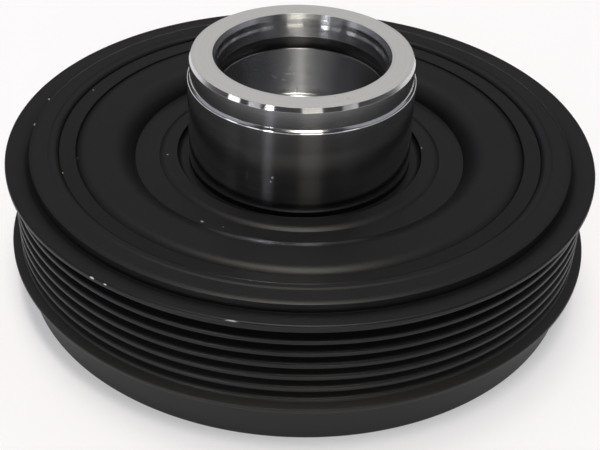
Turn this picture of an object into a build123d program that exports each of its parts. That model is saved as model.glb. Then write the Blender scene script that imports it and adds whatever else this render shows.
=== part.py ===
from build123d import *
from math import radians, tan
import os

# Harmonic balancer: a cast-iron hub with a machined snout, a grooved inertia ring that carries
# the accessory belt, and an elastomer ring bonded between them. All three are turned about +Z.
# Millimetres. The origin is on the axis, in the plane that the inertia ring stands on.
# Radii are built up from the crankshaft bore outwards, heights from the standing plane upwards.

# Hub: bore, from the crankshaft's nose up to the mouth of the snout
crank_radius = 20.0         # bore that the crankshaft's nose fits
crank_bore_length = 17.7
crank_chamfer = 0.5
guide_ledge = 2.0           # ledge where the bore opens out into the guide bore
mouth_step = 0.4            # how much wider than the guide bore the mouth is
mouth_depth = 2.8
mouth_chamfer_width = 0.85
mouth_chamfer_depth = 1.3
guide_lead_in = 0.8         # length of the cone between the mouth and the guide bore
guide_land = 2.8            # plain stretch between that cone and the seal groove
seal_groove_width = 3.2
seal_groove_depth = 1.9

# Hub: snout
snout_wall = 8.0            # guide bore to the running surface of the oil seal
snout_projection = 25.5     # above the inertia ring's flange
nose_step = 0.7             # how much smaller than the running surface the nose is
nose_step_length = 0.55     # length of the cone that leads to the nose
nose_length = 5.9
nose_chamfer_width = 0.5
nose_chamfer_depth = 1.15

# Hub: face, from the snout outwards
foot_groove_width = 3.2     # half-round groove round the snout's foot
foot_groove_depth = 2.1     # below the collar
collar_width = 2.8          # flat top of the collar
collar_round_width = 2.1    # soft round from the collar down to the seat
collar_height = 0.65        # above the seat
seat_width = 6.5            # flat machined seat
seat_depth = 4.75           # below the web
seat_bank = 6.4             # width of the curved bank from the seat up to the web
web_width = 6.2             # flat stretch of the web
web_rise = 0.5              # above the inertia ring's flange
rim_round_width = 2.9       # soft round from the web down to the rim's edge
rim_round_depth = 0.85

# Hub: underside
web_thickness = 12.5
web_fillet = 4.0
rim_wall = 6.1
rim_recess = 9.0            # rim above the standing plane
boss_recess = 4.0           # boss above the standing plane
boss_wall = 10.5
boss_chamfer = 1.0
washer_seat_radius = 20.5
washer_seat_depth = 8.0
bolt_hole_radius = 8.5
clamp_wall = 9.0            # between the washer's seat and the crankshaft's end

# Elastomer ring
elastomer_thickness = 4.5
elastomer_rise = 0.4        # its outer edge above the inertia ring's flange
elastomer_dip = 0.1         # its inner edge below the inertia ring's flange
elastomer_recess = 8.0      # above the standing plane
elastomer_waist = 0.5       # how far its lower face bows in

# Inertia ring: upper face, from its bore outwards
bore_round_width = 1.4      # soft round from the bore up to the shoulder
bore_round_depth = 0.95
shoulder_width = 6.0        # flat top of the shoulder, up to its outer corner
shoulder_height = 1.35
shoulder_wall_reach = 0.8   # how far the shoulder's sloping wall leans out
shoulder_round = 1.6
shoulder_fillet = 1.0
flange_width = 5.8

# Inertia ring: outside, from the standing plane upwards
base_chamfer = 0.8
band_height = 11.8          # plain band under the lower lip
band_step = 1.3             # below the crests
lower_lip_height = 2.3      # above the crests
lower_lip_thickness = 1.1
lower_flare = 0.55          # height of the slope from the lip in to the crests
crest_land = 0.62           # plain land beside the first and the last groove
groove_count = 6
groove_pitch = 3.56
groove_depth = 2.6
groove_angle = 40.0
groove_root_round = 0.15
crest_width = 1.3
crest_round = 0.5
upper_flare = 1.45
upper_lip_height = 1.7
upper_lip_thickness = 1.3
lip_round = 0.4

hair = 0.001                # margin for picking the corners of a section by their place

# Radii worked out from the bore outwards
guide_radius = crank_radius + guide_ledge
mouth_radius = guide_radius + mouth_step
seal_groove_radius = guide_radius + seal_groove_depth
snout_radius = guide_radius + snout_wall
nose_radius = snout_radius - nose_step
foot_groove_round = foot_groove_width / 2
foot_groove_radius = snout_radius + foot_groove_width
collar_radius = foot_groove_radius + collar_width
seat_inner_radius = collar_radius + collar_round_width
seat_outer_radius = seat_inner_radius + seat_width
web_inner_radius = seat_outer_radius + seat_bank
web_outer_radius = web_inner_radius + web_width
rim_radius = web_outer_radius + rim_round_width
rim_inner_radius = rim_radius - rim_wall
boss_radius = washer_seat_radius + boss_wall
ring_bore_radius = rim_radius + elastomer_thickness
shoulder_inner_radius = ring_bore_radius + bore_round_width
shoulder_outer_radius = shoulder_inner_radius + shoulder_width
flange_inner_radius = shoulder_outer_radius + shoulder_wall_reach
upper_lip_radius = flange_inner_radius + flange_width
crest_radius = upper_lip_radius - upper_lip_height
lower_lip_radius = crest_radius + lower_lip_height
band_radius = crest_radius - band_step

# Heights worked out from the standing plane upwards
groove_mouth = groove_pitch - crest_width
groove_root = groove_mouth - 2 * groove_depth * tan(radians(groove_angle / 2))
track_bottom_z = band_height + lower_lip_thickness + lower_flare
first_groove_z = track_bottom_z + crest_land + groove_mouth / 2
last_groove_z = first_groove_z + (groove_count - 1) * groove_pitch
track_top_z = last_groove_z + groove_mouth / 2 + crest_land
flange_z = track_top_z + upper_flare + upper_lip_thickness
shoulder_z = flange_z + shoulder_height
web_z = flange_z + web_rise
rim_z = web_z - rim_round_depth
web_bottom_z = web_z - web_thickness
seat_z = web_z - seat_depth
collar_z = seat_z + collar_height
foot_groove_z = collar_z - foot_groove_depth
snout_z = flange_z + snout_projection
nose_z = snout_z - nose_length
mouth_bottom_z = snout_z - mouth_depth
seal_groove_top_z = mouth_bottom_z - guide_lead_in - guide_land
seal_groove_bottom_z = seal_groove_top_z - seal_groove_width
washer_seat_z = boss_recess + washer_seat_depth
crank_end_z = washer_seat_z + clamp_wall
ledge_z = crank_end_z + crank_bore_length

os.makedirs("parts", exist_ok=True)

# The inertia ring: a thick iron ring with two thin lips and the belt track between them.
with BuildPart() as pulley_ring:
    with BuildSketch(Plane.XZ) as ring_section:
        with BuildLine():
            Polyline(
                (ring_bore_radius, shoulder_z - bore_round_depth),
                (ring_bore_radius, base_chamfer),
                (ring_bore_radius + base_chamfer, 0),
                (band_radius - base_chamfer, 0),
                (band_radius, base_chamfer),
                (band_radius, band_height),
                (lower_lip_radius, band_height),
                (lower_lip_radius, band_height + lower_lip_thickness),
                (crest_radius, track_bottom_z),
                (crest_radius, track_top_z),
                (upper_lip_radius, flange_z - upper_lip_thickness),
                (upper_lip_radius, flange_z),
                (flange_inner_radius, flange_z),
                (shoulder_outer_radius, shoulder_z),
                (shoulder_inner_radius, shoulder_z),
            )
            TangentArc(
                (shoulder_inner_radius, shoulder_z),
                (ring_bore_radius, shoulder_z - bore_round_depth),
                tangent=(-1, 0),
            )
        make_face()
        with Locations(*[(crest_radius, first_groove_z + i * groove_pitch) for i in range(groove_count)]):
            Polygon(
                (-groove_depth, -groove_root / 2),
                (0, -groove_mouth / 2),
                (0, groove_mouth / 2),
                (-groove_depth, groove_root / 2),
                align=None,
                mode=Mode.SUBTRACT,
            )
        root_radius = crest_radius - groove_depth
        roots = ring_section.vertices().filter_by_position(Axis.X, root_radius - hair, root_radius + hair)
        fillet(roots, radius=groove_root_round)
        crests = ring_section.vertices().filter_by_position(Axis.X, crest_radius - hair, crest_radius + hair)
        fillet(crests.filter_by_position(Axis.Y, first_groove_z, last_groove_z), radius=crest_round)
        for lip_radius in (lower_lip_radius, upper_lip_radius):
            lip = ring_section.vertices().filter_by_position(Axis.X, lip_radius - hair, lip_radius + hair)
            fillet(lip, radius=lip_round)
        outer_radius = shoulder_outer_radius
        shoulder = ring_section.vertices().filter_by_position(Axis.X, outer_radius - hair, outer_radius + hair)
        fillet(shoulder, radius=shoulder_round)
        wall_foot = flange_inner_radius
        foot = ring_section.vertices().filter_by_position(Axis.X, wall_foot - hair, wall_foot + hair)
        fillet(foot, radius=shoulder_fillet)
    revolve(axis=Axis.Z)

# The elastomer: one moulded ring that fills the gap between the hub's rim and the ring's bore.
with BuildPart() as damper_elastomer:
    with BuildSketch(Plane.XZ):
        with BuildLine():
            Polyline(
                (rim_radius, elastomer_recess),
                (rim_radius, flange_z - elastomer_dip),
                (ring_bore_radius, flange_z + elastomer_rise),
                (ring_bore_radius, elastomer_recess),
            )
            SagittaArc(
                (ring_bore_radius, elastomer_recess),
                (rim_radius, elastomer_recess),
                elastomer_waist,
            )
        make_face()
    revolve(axis=Axis.Z)

# The hub: snout, web, rim and boss are one casting, machined on the snout, the seat and the bores.
with BuildPart() as hub:
    with BuildSketch(Plane.XZ) as hub_section:
        with BuildLine():
            Polyline(
                (rim_inner_radius, rim_recess),
                (rim_radius, rim_recess),
                (rim_radius, rim_z),
            )
            TangentArc((web_outer_radius, web_z), (rim_radius, rim_z), tangent=(1, 0))
            Line((web_outer_radius, web_z), (web_inner_radius, web_z))
            TangentArc((web_inner_radius, web_z), (seat_outer_radius, seat_z), tangent=(-1, 0))
            Line((seat_outer_radius, seat_z), (seat_inner_radius, seat_z))
            TangentArc((collar_radius, collar_z), (seat_inner_radius, seat_z), tangent=(1, 0))
            Polyline(
                (collar_radius, collar_z),
                (foot_groove_radius, collar_z),
                (foot_groove_radius, foot_groove_z + foot_groove_round),
            )
            ThreePointArc(
                (foot_groove_radius, foot_groove_z + foot_groove_round),
                (snout_radius + foot_groove_round, foot_groove_z),
                (snout_radius, foot_groove_z + foot_groove_round),
            )
            Polyline(
                (snout_radius, foot_groove_z + foot_groove_round),
                (snout_radius, nose_z - nose_step_length),
                (nose_radius, nose_z),
                (nose_radius, snout_z - nose_chamfer_depth),
                (nose_radius - nose_chamfer_width, snout_z),
                (mouth_radius + mouth_chamfer_width, snout_z),
                (mouth_radius, snout_z - mouth_chamfer_depth),
                (mouth_radius, mouth_bottom_z),
                (guide_radius, mouth_bottom_z - guide_lead_in),
                (guide_radius, seal_groove_top_z),
                (seal_groove_radius, seal_groove_top_z),
                (seal_groove_radius, seal_groove_bottom_z),
                (guide_radius, seal_groove_bottom_z),
                (guide_radius, ledge_z),
                (crank_radius + crank_chamfer, ledge_z),
                (crank_radius, ledge_z - crank_chamfer),
                (crank_radius, crank_end_z),
                (bolt_hole_radius, crank_end_z),
                (bolt_hole_radius, washer_seat_z),
                (washer_seat_radius, washer_seat_z),
                (washer_seat_radius, boss_recess),
                (boss_radius - boss_chamfer, boss_recess),
                (boss_radius, boss_recess + boss_chamfer),
                (boss_radius, web_bottom_z),
                (rim_inner_radius, web_bottom_z),
                (rim_inner_radius, rim_recess),
            )
        make_face()
        web_corners = hub_section.vertices().filter_by_position(Axis.Y, web_bottom_z - hair, web_bottom_z + hair)
        fillet(web_corners, radius=web_fillet)
    revolve(axis=Axis.Z)

pulley_ring.part.label = "pulley_ring"
export_step(pulley_ring.part, "parts/pulley_ring.step")
damper_elastomer.part.label = "damper_elastomer"
export_step(damper_elastomer.part, "parts/damper_elastomer.step")
hub.part.label = "hub"
export_step(hub.part, "parts/hub.step")
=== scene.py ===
"""A crankshaft harmonic balancer with its snout upwards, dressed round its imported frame."""
from math import cos, radians, sin

import bpy
import numpy as np
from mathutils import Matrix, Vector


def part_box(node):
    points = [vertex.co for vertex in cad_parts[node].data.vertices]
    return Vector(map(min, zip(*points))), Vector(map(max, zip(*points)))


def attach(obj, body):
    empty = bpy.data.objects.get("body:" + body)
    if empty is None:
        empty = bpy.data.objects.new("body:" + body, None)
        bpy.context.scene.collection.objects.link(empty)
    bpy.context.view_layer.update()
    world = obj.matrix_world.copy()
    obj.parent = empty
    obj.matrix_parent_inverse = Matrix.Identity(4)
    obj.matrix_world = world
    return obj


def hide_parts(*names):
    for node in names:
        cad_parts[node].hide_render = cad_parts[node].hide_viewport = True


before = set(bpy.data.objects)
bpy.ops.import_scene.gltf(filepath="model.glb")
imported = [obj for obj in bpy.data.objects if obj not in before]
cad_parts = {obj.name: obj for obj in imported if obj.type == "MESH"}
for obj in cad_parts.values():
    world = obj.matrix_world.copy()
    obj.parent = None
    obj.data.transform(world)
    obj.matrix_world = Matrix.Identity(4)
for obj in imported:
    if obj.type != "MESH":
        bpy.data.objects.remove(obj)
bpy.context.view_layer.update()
mm = 0.001

# ---------------------------------------------------------------------------------------------
# Hub: one grey-iron casting with snout, web, rim and bolt boss. It is dipped in black paint, and
# the snout, the bores and the bolt's seat are then turned bright on a lathe.
# ---------------------------------------------------------------------------------------------


def rounded_outline(corners, arc_step=radians(15)):
    """A closed outline in the radius-height plane, counter-clockwise, from (radius, height, rounding).

    Where the outline turns by t, each edge stops rounding * tan(t / 2) short of the corner, and the
    arc centre + rounding * outward(a) joins them, a being the direction of travel and outward(a) the
    unit vector (sin a, -cos a). Returns the points and their outward normals."""
    place = np.array([c[:2] for c in corners])
    along = np.roll(place, -1, axis=0) - place
    heading = np.arctan2(along[:, 1], along[:, 0])
    points, normals = [], []
    for corner, before, after, rounding in zip(
            place, np.roll(heading, 1), heading, [c[2] for c in corners]):
        turn = (after - before + np.pi) % (2 * np.pi) - np.pi
        side = np.sign(turn)
        angle = before + turn * np.linspace(0, 1, max(3, int(np.ceil(abs(turn) / arc_step)) + 1))
        outward = np.column_stack([np.sin(angle), -np.cos(angle)])
        start = corner - rounding * np.tan(abs(turn) / 2) * np.array([np.cos(before), np.sin(before)])
        points.append(start + side * rounding * (outward - outward[0]))
        normals.append(outward)
    return np.vstack(points), np.vstack(normals)


def bank(flat, edge):
    """The rounded corner of a bank: an arc that leaves the level stretch at flat without a kink and ends
    at edge. With the bank's width w and depth d its radius is (w^2 + d^2) / 2d, and its tangents cross
    (w^2 + d^2) / 2w from flat. The rounding is a hair less, to leave room beside it."""
    width, depth = edge[0] - flat[0], abs(edge[1] - flat[1])
    square = width ** 2 + depth ** 2
    return flat[0] + square / (2 * width), flat[1], 0.97 * square / (2 * depth)


def turned_piece(name, corners, steps=360):
    """The outline turned about Z: (radius, height) goes to (radius cos a, radius sin a, height) for each
    of the steps round the axis, closed on itself both ways. Its normals are the outline's own."""
    outline, outward = rounded_outline(corners)
    angle = np.arange(steps) * 2 * np.pi / steps
    east, north = np.cos(angle)[:, None], np.sin(angle)[:, None]

    def turned(pairs):
        heights = np.broadcast_to(pairs[:, 1], (steps, len(pairs)))
        return np.stack([pairs[:, 0] * east, pairs[:, 0] * north, heights], axis=2).reshape(-1, 3)

    ring = np.arange(steps)[:, None] * len(outline)
    next_ring = np.roll(ring, -1, axis=0)
    step = np.arange(len(outline))[None, :]
    next_step = np.roll(step, -1, axis=1)
    faces = np.stack([ring + step, next_ring + step, next_ring + next_step, ring + next_step], axis=2)
    mesh = bpy.data.meshes.new(name)
    mesh.from_pydata(turned(outline), [], faces.reshape(-1, 4).tolist())
    mesh.shade_smooth()
    mesh.normals_split_custom_set_from_vertices(turned(outward))
    piece = bpy.data.objects.new(name, mesh)
    bpy.context.scene.collection.objects.link(piece)
    return piece


class Value:
    """A shader socket to write sums with: every operator adds the Math node that works it out."""

    def __init__(self, nodes, socket):
        self.nodes, self.socket = nodes, socket

    def maths(self, operation, *values):
        return self.nodes.add("Math", {"operation": operation}, dict(enumerate(values)))

    def __add__(self, other):
        return self.maths("ADD", self, other)

    def __sub__(self, other):
        return self.maths("SUBTRACT", self, other)

    def __rsub__(self, other):
        return self.maths("SUBTRACT", other, self)

    def __mul__(self, other):
        return self.maths("MULTIPLY", self, other)

    def __truediv__(self, other):
        return self.maths("DIVIDE", self, other)

    def __pow__(self, other):
        return self.maths("POWER", self, other)

    def __gt__(self, other):
        return self.maths("GREATER_THAN", self, other)

    __radd__, __rmul__ = __add__, __mul__

    def either(self, other):
        """1 where one of the two is 1."""
        return self.maths("MAXIMUM", self, other)

    def between(self, low, high):
        """0 up to low, 1 from high on, and a smooth rise between them."""
        return self.nodes.add("MapRange", {"interpolation_type": "SMOOTHSTEP"},
                              {"Value": self, "From Min": low, "From Max": high})


class Nodes:
    """The nodes of one material or of the world."""

    def __init__(self, owner):
        owner.use_nodes = True
        self.owner, self.tree = owner, owner.node_tree

    def add(self, kind, settings, inputs, output=0):
        """Adds a node with its settings, and sets or links its sockets. Returns one of its outputs."""
        node = self.tree.nodes.new("ShaderNode" + kind)
        for setting, value in settings.items():
            setattr(node, setting, value)
        self.feed(node, inputs)
        return Value(self, node.outputs[output])

    def feed(self, node, inputs):
        """Links each socket that is given a Value, and sets the others."""
        for name, value in inputs.items():
            if isinstance(value, Value):
                self.tree.links.new(value.socket, node.inputs[name])
            else:
                node.inputs[name].default_value = value

    def mix(self, share, first, second):
        """The colour first where share is 0, and second where it is 1."""
        return self.add("Mix", {"data_type": "RGBA"}, {0: share, 6: first, 7: second}, output=2)


class Finish(Nodes):
    """A material on Principled BSDF, with places measured on the object in metres."""

    def __init__(self, name):
        super().__init__(bpy.data.materials.new(name))
        self.place = self.add("TexCoord", {}, {}, output="Object")
        split = [self.add("SeparateXYZ", {}, {0: self.place}, output=axis) for axis in range(3)]
        self.x, self.y, self.height = split
        self.radius = (self.x * self.x + self.y * self.y) ** 0.5

    def noise(self, size, detail=3.0, place=None):
        """Soft noise from 0 to 1 with blotches of about that size."""
        return self.add("TexNoise", {}, {"Vector": place or self.place, "Scale": 1 / size, "Detail": detail})

    def bump(self, height, depth):
        """The surface's normal over a relief that stands up by height times depth, depth in metres."""
        return self.add("Bump", {}, {"Height": height, "Distance": depth})

    def surface(self, **sockets):
        """Principled BSDF. A socket's name has _ for each space in it."""
        named = {name.replace("_", " "): value for name, value in sockets.items()}
        return self.add("BsdfPrincipled", {}, named)

    def coat(self, piece, surface):
        """Makes that surface the whole finish of the piece."""
        self.tree.nodes.remove(self.tree.nodes["Principled BSDF"])
        self.feed(self.tree.nodes["Material Output"], {"Surface": surface})
        piece.data.materials.append(self.owner)


def nicked(finish, nicks):
    """1 inside the ragged outline of each nick (azimuth, radius, height, width, length), in degrees and
    millimetres, its length lying along the circle, and 0 elsewhere. It falls from 1 to 0 where the
    distance from the nick's middle, in half widths and half lengths, plus noise goes from 1.2 to 1.5."""
    ragged = finish.noise(0.5 * mm) * 0.9
    inside = 0
    for azimuth, radius, height, width, length in nicks:
        turn = radians(azimuth)
        nick = finish.add("Mapping", {"vector_type": "TEXTURE"}, {
            "Vector": finish.place,
            "Location": (radius * cos(turn) * mm, radius * sin(turn) * mm, height * mm),
            "Rotation": (0, 0, turn),
            "Scale": (width / 2 * mm, length / 2 * mm, width / 2 * mm),
        })
        distance = finish.add("VectorMath", {"operation": "LENGTH"}, {0: nick}, output="Value")
        inside = inside + (1 - (distance + ragged).between(1.2, 1.5))
    return inside


dark_paint, light_paint = (0.0056, 0.0053, 0.0066, 1), (0.0086, 0.0083, 0.0098, 1)
# The first of these two tones is a paler paint for painted light, the second bare iron for the nicks.
painted_light_paint, nick_iron = (0.019, 0.019, 0.019, 1), (0.5, 0.5, 0.49, 1)


def black_paint(finish, nicks, painted_light=0.0):
    """Satin black paint: faint mottling in tone and gloss over a fine grain, a paler tone painted in as
    light where the third argument is 1, and bare iron in the nicks."""
    mottle = finish.noise(9 * mm)
    grain = finish.noise(0.5 * mm)
    bare = nicked(finish, nicks)
    paint = finish.mix(painted_light, finish.mix(mottle, dark_paint, light_paint), painted_light_paint)
    return finish.surface(
        Base_Color=finish.mix(bare, paint, nick_iron),
        Metallic=bare,
        Roughness=0.36 + mottle * 0.04 + grain * 0.04,
        IOR=1.45,
        Specular_IOR_Level=0.27,
        Normal=finish.bump(grain - bare * 6, 0.002 * mm),
    )


boss_bottom, snout_top = [corner.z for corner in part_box("hub")]
crank_radius, crank_end, crank_chamfer = 20 * mm, 21 * mm, 0.5 * mm
guide_radius, ledge_height = 22 * mm, 38.7 * mm
groove_radius, groove_bottom, groove_top = 23.9 * mm, 52.9 * mm, 56.6 * mm
mouth_radius, mouth_bottom, mouth_cone = 22.4 * mm, 60.2 * mm, 0.8 * mm
mouth_edge_width, mouth_edge_depth = 0.85 * mm, 1.3 * mm
nose_radius, nose_bottom, nose_cone, nose_cone_round = 29.3 * mm, 57.1 * mm, 0.55 * mm, 0.7 * mm
nose_edge_width, nose_edge_depth = 0.5 * mm, 1.15 * mm
snout_radius, hub_radius = 30 * mm, 60.1 * mm
foot_groove_outside, foot_groove_bottom = 33.2 * mm, 31.8 * mm
foot_groove_round, foot_groove_corner = 1.55 * mm, 0.2 * mm
collar_outside, collar_height = 36 * mm, 33.9 * mm
seat_inside, seat_outside, seat_height = 38.1 * mm, 44.6 * mm, 33.25 * mm
web_inside, web_outside, web_top, web_bottom = 51 * mm, 57.2 * mm, 38 * mm, 25.5 * mm
rim_inside, rim_bottom, rim_top = 54 * mm, 9 * mm, 36.8 * mm
rim_foot_inner_round, rim_foot_outer_round, recess_fillet = 0.8 * mm, 0.5 * mm, 4.0 * mm
boss_radius, boss_outer_round, boss_inner_round = 31 * mm, 1.0 * mm, 0.5 * mm
washer_radius, washer_height, bolt_radius = 20.5 * mm, 12 * mm, 8.5 * mm
crisp, eased = 0.12 * mm, 0.3 * mm

hub_outline = [
    (bolt_radius, washer_height, eased),
    (washer_radius, washer_height, eased),
    (washer_radius, boss_bottom, boss_inner_round),
    (boss_radius, boss_bottom, boss_outer_round),
    (boss_radius, web_bottom, recess_fillet),
    (rim_inside, web_bottom, recess_fillet),
    (rim_inside, rim_bottom, rim_foot_inner_round),
    (hub_radius, rim_bottom, rim_foot_outer_round),
    (hub_radius, rim_top, crisp),
    bank((web_outside, web_top), (hub_radius, rim_top)),
    bank((web_inside, web_top), (seat_outside, seat_height)),
    (seat_outside, seat_height, crisp),
    (seat_inside, seat_height, crisp),
    bank((collar_outside, collar_height), (seat_inside, seat_height)),
    (foot_groove_outside, collar_height, crisp),
    (foot_groove_outside, foot_groove_bottom, foot_groove_round),
    (snout_radius, foot_groove_bottom, foot_groove_corner),
    (snout_radius, nose_bottom - nose_cone, nose_cone_round),
    (nose_radius, nose_bottom, crisp),
    (nose_radius, snout_top - nose_edge_depth, crisp),
    (nose_radius - nose_edge_width, snout_top, crisp),
    (mouth_radius + mouth_edge_width, snout_top, crisp),
    (mouth_radius, snout_top - mouth_edge_depth, crisp),
    (mouth_radius, mouth_bottom, crisp),
    (guide_radius, mouth_bottom - mouth_cone, crisp),
    (guide_radius, groove_top, crisp),
    (groove_radius, groove_top, crisp),
    (groove_radius, groove_bottom, crisp),
    (guide_radius, groove_bottom, crisp),
    (guide_radius, ledge_height, eased),
    (crank_radius + crank_chamfer, ledge_height, crisp),
    (crank_radius, ledge_height - crank_chamfer, crisp),
    (crank_radius, crank_end, eased),
    (bolt_radius, crank_end, eased),
]
hub = turned_piece("turned_hub", hub_outline)

hub_nicks = [
    (-166.8, 59.6, 36.9, 0.7, 0.9),
    (-171.3, 35.9, 33.9, 0.5, 0.5),
    (-124, 42.2, 33.25, 0.6, 1.0),
    (-116.2, 41.2, 33.25, 0.3, 0.4),
    (3.5, 33.6, 33.9, 0.5, 0.5),
]
hub_finish = Finish("black_paint_and_turned_iron")

# Where each finish lies: turned iron in the bores and on the snout, down to just below the collar's
# top, black paint on the rest, and painted shade: a darker iron tone in the seal groove.
off_the_snout = hub_finish.radius.between(snout_radius + 0.15 * mm, snout_radius + 0.35 * mm)
above_the_paint = hub_finish.height.between(collar_height - 0.55 * mm, collar_height - 0.3 * mm)
snout_bare = (1 - off_the_snout) * above_the_paint
bores_bare = 1 - hub_finish.radius.between(washer_radius + 0.1 * mm, washer_radius + 0.3 * mm)
in_the_bore = 1 - hub_finish.radius.between(groove_radius + 0.6 * mm, groove_radius + 0.8 * mm)
below_the_groove_top = 1 - hub_finish.height.between(groove_top - 0.1 * mm, groove_top + 0.1 * mm)
past_the_guide = hub_finish.radius.between(guide_radius + 0.1 * mm, guide_radius + 0.5 * mm)
in_the_groove = past_the_guide * in_the_bore * below_the_groove_top

# The tool's marks run round the axis, so the noise that draws them varies only across them.
lathe_line = hub_finish.add("CombineXYZ", {}, {0: hub_finish.height + hub_finish.radius * 1.3})
passes = hub_finish.noise(1.6 * mm, 4.0, lathe_line)
feed_marks = hub_finish.noise(0.16 * mm, 2.0, lathe_line)

# Scratches in the bore, and specks on the snout and its end.
scratched = nicked(hub_finish, [
    (111.9, 22, 45, 0.3, 0.4),
    (109.6, 22, 44.5, 0.4, 0.9),
    (99, 22, 45, 0.3, 2.6),
    (103.4, 22, 43.3, 0.3, 1.1),
    (98.4, 22, 47, 0.3, 0.7),
    (93.5, 22, 39.6, 0.4, 0.6),
    (-102.3, 30, 43.3, 0.5, 0.5),
    (-103.2, 30, 42, 0.4, 0.4),
    (-64, 26.1, 63, 0.3, 0.3),
    (-70, 24.2, 63, 0.25, 0.25),
])
dark_iron, light_iron = (0.52, 0.525, 0.54, 1), (0.69, 0.695, 0.71, 1)
# The first tone below is painted shade for the seal groove's iron; the second is for scratches.
groove_painted_shade, scratch_tone = (0.18, 0.178, 0.17, 1), (0.2, 0.2, 0.2, 1)
iron_tone = hub_finish.mix(passes, dark_iron, light_iron)
turned_iron = hub_finish.surface(
    Base_Color=hub_finish.mix(in_the_groove, iron_tone, groove_painted_shade),
    Metallic=1.0,
    Roughness=0.11 + in_the_bore * 0.12 + passes * 0.01 + scratched * 0.5,
    Anisotropic=1.0,
    Anisotropic_Rotation=0.25,
    Normal=hub_finish.bump(feed_marks - scratched * 20, 0.0003 * mm),
)

# The snout's end was faced with a coarser cut, and is dull.
faced_iron = hub_finish.surface(
    Base_Color=hub_finish.mix(scratched, iron_tone, scratch_tone),
    Metallic=1.0,
    Roughness=0.62 + passes * 0.05,
    Normal=hub_finish.bump(feed_marks, 0.0005 * mm),
)
faced = hub_finish.height.between(snout_top - 0.05 * mm, snout_top - 0.02 * mm)
iron = hub_finish.add("MixShader", {}, {0: faced, 1: turned_iron, 2: faced_iron})
hub_finish.coat(hub, hub_finish.add("MixShader", {}, {
    0: snout_bare.either(bores_bare), 1: black_paint(hub_finish, hub_nicks), 2: iron}))
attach(hub, "root")
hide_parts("hub")

# ---------------------------------------------------------------------------------------------
# Elastomer ring: black rubber moulded and bonded into the gap between the hub's rim and the
# inertia ring. Its rounded lips leave a fine dark joint line on each side.
# ---------------------------------------------------------------------------------------------
ring_bore = 64.6 * mm
rubber_bottom, rubber_inner_top, rubber_outer_top = 8 * mm, 37.4 * mm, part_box("damper_elastomer")[1].z
rubber_lip, rubber_bow, rubber_bow_round = 0.35 * mm, 0.5 * mm, 6 * mm

elastomer = turned_piece("moulded_elastomer", [
    (hub_radius, rubber_bottom, rubber_lip),
    ((hub_radius + ring_bore) / 2, rubber_bottom + rubber_bow, rubber_bow_round),
    (ring_bore, rubber_bottom, rubber_lip),
    (ring_bore, rubber_outer_top, rubber_lip),
    (hub_radius, rubber_inner_top, rubber_lip),
])
rubber = Finish("moulded_rubber")
rubber_mottle = rubber.noise(3 * mm)
dark_rubber, light_rubber = (0.0075, 0.0075, 0.008, 1), (0.0105, 0.0105, 0.011, 1)
speck_tone = (0.3, 0.3, 0.29, 1)
rubber_black = rubber.mix(rubber_mottle, dark_rubber, light_rubber)
dust_specks = nicked(rubber, [(160, 63.6, 37.75, 0.4, 0.5), (-160, 64.3, 37.85, 0.4, 0.5)])
rubber.coat(elastomer, rubber.surface(
    Base_Color=rubber.mix(dust_specks, rubber_black, speck_tone),
    Roughness=0.4 + rubber_mottle * 0.05,
    IOR=1.45,
    Specular_IOR_Level=0.2,
    Normal=rubber.bump(rubber.noise(0.4 * mm), 0.003 * mm),
))
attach(elastomer, "root")
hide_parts("damper_elastomer")

# ---------------------------------------------------------------------------------------------
# Inertia ring: a heavy iron ring, turned all over and painted satin black, with the six V-shaped
# grooves of the belt track between two thin lips. The elastomer alone holds it to the hub.
# ---------------------------------------------------------------------------------------------
flange_height, shoulder_height = 37.5 * mm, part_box("pulley_ring")[1].z
bore_edge_height, bore_edge_round = 37.9 * mm, crisp / 2

# The shoulder has a low bead at its inner edge, a flat just under it, and a soft outer round.
shoulder_inside, shoulder_outside, shoulder_flat = 65.9 * mm, 72.2 * mm, shoulder_height - 0.18 * mm
bead_outside, bead_round, bead_foot, bead_foot_round = 66.8 * mm, 0.8 * mm, 67.5 * mm, 0.6 * mm
shoulder_round_width, shoulder_round_depth = 1.6 * mm, 0.35 * mm

# The flange is dished towards the foot of the shoulder's wall.
wall_foot, wall_edge_round, dish_width, dish_depth = 72.6 * mm, crisp / 3, 4.6 * mm, 1.2 * mm

# The two lips, the plain band under the lower one, and the belt track between them.
upper_lip_radius, upper_lip_thickness, upper_lip_top_round = 78.6 * mm, 1.3 * mm, 0.6 * mm
lower_lip_radius, lower_lip_thickness, lip_round = 79.2 * mm, 1.1 * mm, 0.4 * mm
band_radius, band_height, base_edge = 75.6 * mm, 11.8 * mm, 0.8 * mm
crest_radius, crest_round, track_edge_round = 76.9 * mm, 0.7 * mm, 0.1 * mm
belt_groove_depth, belt_root_round = 2.6 * mm, 0.15 * mm
belt_groove_pitch, belt_groove_mouth, belt_groove_root = 3.56 * mm, 2.26 * mm, 0.367 * mm
first_groove, belt_grooves = 15.2 * mm, 6
track_bottom, track_top = 13.45 * mm, 34.75 * mm

belt_track = []
for groove in range(belt_grooves):
    middle = first_groove + groove * belt_groove_pitch
    belt_track += [
        (crest_radius, middle - belt_groove_mouth / 2, crest_round),
        (crest_radius - belt_groove_depth, middle - belt_groove_root / 2, belt_root_round),
        (crest_radius - belt_groove_depth, middle + belt_groove_root / 2, belt_root_round),
        (crest_radius, middle + belt_groove_mouth / 2, crest_round),
    ]

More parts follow.
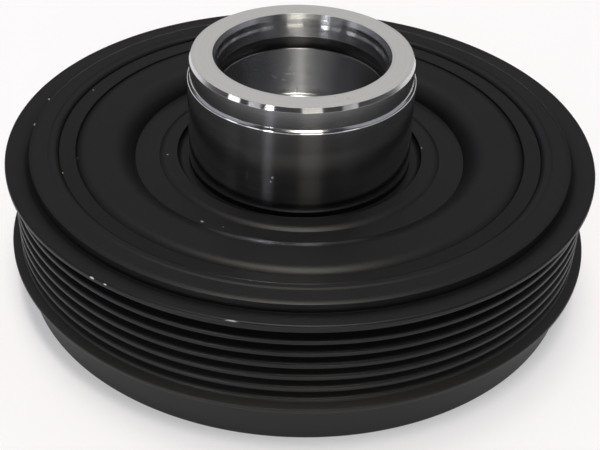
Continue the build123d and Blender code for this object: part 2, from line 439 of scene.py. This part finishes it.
ring = turned_piece("grooved_inertia_ring", [
    (ring_bore, 0, base_edge),
    (band_radius, 0, base_edge),
    (band_radius, band_height, eased),
    (lower_lip_radius, band_height, lip_round),
    (lower_lip_radius, band_height + lower_lip_thickness, lip_round),
    (crest_radius, track_bottom, track_edge_round),
    *belt_track,
    (crest_radius, track_top, track_edge_round),
    (upper_lip_radius, flange_height - upper_lip_thickness, lip_round),
    (upper_lip_radius, flange_height, upper_lip_top_round),
    bank((wall_foot + dish_width, flange_height), (wall_foot, flange_height - dish_depth)),
    (wall_foot, flange_height - dish_depth, wall_edge_round),
    (shoulder_outside, shoulder_flat - shoulder_round_depth, wall_edge_round),
    bank((shoulder_outside - shoulder_round_width, shoulder_flat),
         (shoulder_outside, shoulder_flat - shoulder_round_depth)),
    (bead_foot, shoulder_flat, bead_foot_round),
    (bead_outside, shoulder_height, bead_round),
    bank((shoulder_inside, shoulder_height), (ring_bore, bore_edge_height)),
    (ring_bore, bore_edge_height, bore_edge_round),
])
ring_nicks = [
    (166.4, 73.9, 36.9, 0.6, 0.9),
    (177.1, 73.2, 36.6, 0.7, 1.4),
    (-126, 78.5, 37.0, 0.5, 1.6),
    (-123, 78.5, 37.1, 0.4, 0.9),
    (-100, 78.35, 37.3, 0.35, 3.4),
]
ring_finish = Finish("satin_black_paint")

# Painted light: the band and the lower crests are painted paler, fading out towards the upper lip,
# whose overhang shades the upper crests.
painted_light_towards_foot = 1 - ring_finish.height.between(8 * mm, 30 * mm)
ring_finish.coat(ring, black_paint(ring_finish, ring_nicks, painted_light_towards_foot))
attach(ring, "root")
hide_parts("pulley_ring")

# ---------------------------------------------------------------------------------------------
# Studio: a wide pale floor in a dim room with a lit back wall, a long lamp across the ceiling, and
# narrow lamps standing low in front, which draw the bright streaks down the snout.
# ---------------------------------------------------------------------------------------------
floor_half = 6.0
floor_tone, floor_glow, white = (0.59, 0.585, 0.64, 1), 0.4, (1, 1, 1, 1)
floor_mesh = bpy.data.meshes.new("floor")
floor_mesh.from_pydata(
    [(-floor_half, -floor_half, 0), (floor_half, -floor_half, 0),
     (floor_half, floor_half, 0), (-floor_half, floor_half, 0)], [], [(0, 1, 2, 3)])
floor = bpy.data.objects.new("floor", floor_mesh)
bpy.context.scene.collection.objects.link(floor)
pale = Finish("pale_floor")
seen = ["Is Camera Ray", "Is Glossy Ray", "Is Transmission Ray"]
camera_ray, glossy_ray, clear_ray = [pale.add("LightPath", {}, {}, output=ray) for ray in seen]
glow = camera_ray.either(glossy_ray).either(clear_ray)
pale.coat(floor, pale.surface(
    Base_Color=floor_tone,
    Roughness=0.9,
    Emission_Color=white,
    Emission_Strength=glow * floor_glow,
))

room = Nodes(bpy.data.worlds.new("room"))
bpy.context.scene.world = room.owner

# The direction looked in, split into its parts to the east, to the north and up, and its level length.
sky = room.add("TexCoord", {}, {}, output="Generated")
east, north, up = [room.add("SeparateXYZ", {}, {0: sky}, output=axis) for axis in range(3)]
level = (east * east + north * north) ** 0.5


def panel(azimuth, width, low, high, soft):
    """1 in a patch of the room's wall, width degrees wide round azimuth and from low to high degrees
    above the floor, 0 outside it, with edges that fade over soft degrees."""
    facing = (east * cos(radians(azimuth)) + north * sin(radians(azimuth))) / level
    across = facing.between(cos(radians(width / 2 + soft)), cos(radians(width / 2)))
    above = up.between(sin(radians(low - soft)), sin(radians(low)))
    return across * above * (1 - up.between(sin(radians(high)), sin(radians(high + soft))))


def overhead(azimuth, width, front, back, soft):
    """1 in a strip across the ceiling, width degrees wide and running along azimuth, from front degrees
    before the zenith to back degrees behind it, with edges that fade over soft degrees."""
    aside = east * sin(radians(azimuth)) - north * cos(radians(azimuth))
    along = east * cos(radians(azimuth)) + north * sin(radians(azimuth))
    inside = 1 - (aside * aside).between(sin(radians(width / 2)) ** 2, sin(radians(width / 2 + soft)) ** 2)
    before = 1 - along.between(sin(radians(front)), sin(radians(front + soft)))
    behind = along.between(-sin(radians(back + soft)), -sin(radians(back)))
    return inside * before * behind * (up > 0)


room_light, backdrop = (0.06, 0.06, 0.063, 1), (0.94, 0.94, 0.945, 1)
lamps = [
    (panel(90, 220, 27, 60, 5), (0.41, 0.415, 0.45, 1)),        # the lit back wall
    (overhead(-70, 14, 14, 22, 6), (2.2, 2.1, 1.9, 1)),         # the ceiling lamp's soft edge
    (overhead(-70, 8, 18, 14, 4), (15.5, 14.7, 12.9, 1)),       # the ceiling lamp
    (panel(-79, 16, 1, 9, 3), (10.5, 10.0, 8.8, 1)),            # the wide warm lamp in front
    (panel(-119, 4, 1, 9, 3), (29.0, 29.4, 31.0, 1)),           # the narrow cool lamp, front left
    (panel(-134, 9, 1, 9, 3), (3.4, 3.4, 3.5, 1)),              # two fainter ones further left
    (panel(-156, 9, 1, 9, 3), (4.4, 4.4, 4.5, 1)),
    (panel(-42, 12, 1, 9, 3), (2.2, 2.2, 2.2, 1)),              # a faint one, front right
]
for patch, light in lamps:
    room_light = room.mix(patch, room_light, light)
seen_by_camera = room.add("LightPath", {}, {}, output="Is Camera Ray")
room.feed(room.tree.nodes["Background"], {
    "Color": room.mix(seen_by_camera, room_light, backdrop),
    "Strength": 1.0,
})

# ---------------------------------------------------------------------------------------------
# Camera: in front of the balancer and above it, looking down at the mouth of the snout.
# ---------------------------------------------------------------------------------------------
camera_data = bpy.data.cameras.new("camera")
camera_data.lens, camera_data.sensor_width = 68.38, 36
camera_data.shift_x = 0.0413
camera = bpy.data.objects.new("camera", camera_data)
camera.location = (0, -0.26526, 0.19878)
camera.rotation_euler = (radians(54.24), radians(-0.898), radians(1.978))
bpy.context.scene.collection.objects.link(camera)
bpy.context.scene.camera = camera
bpy.context.scene.view_settings.view_transform = "Standard"
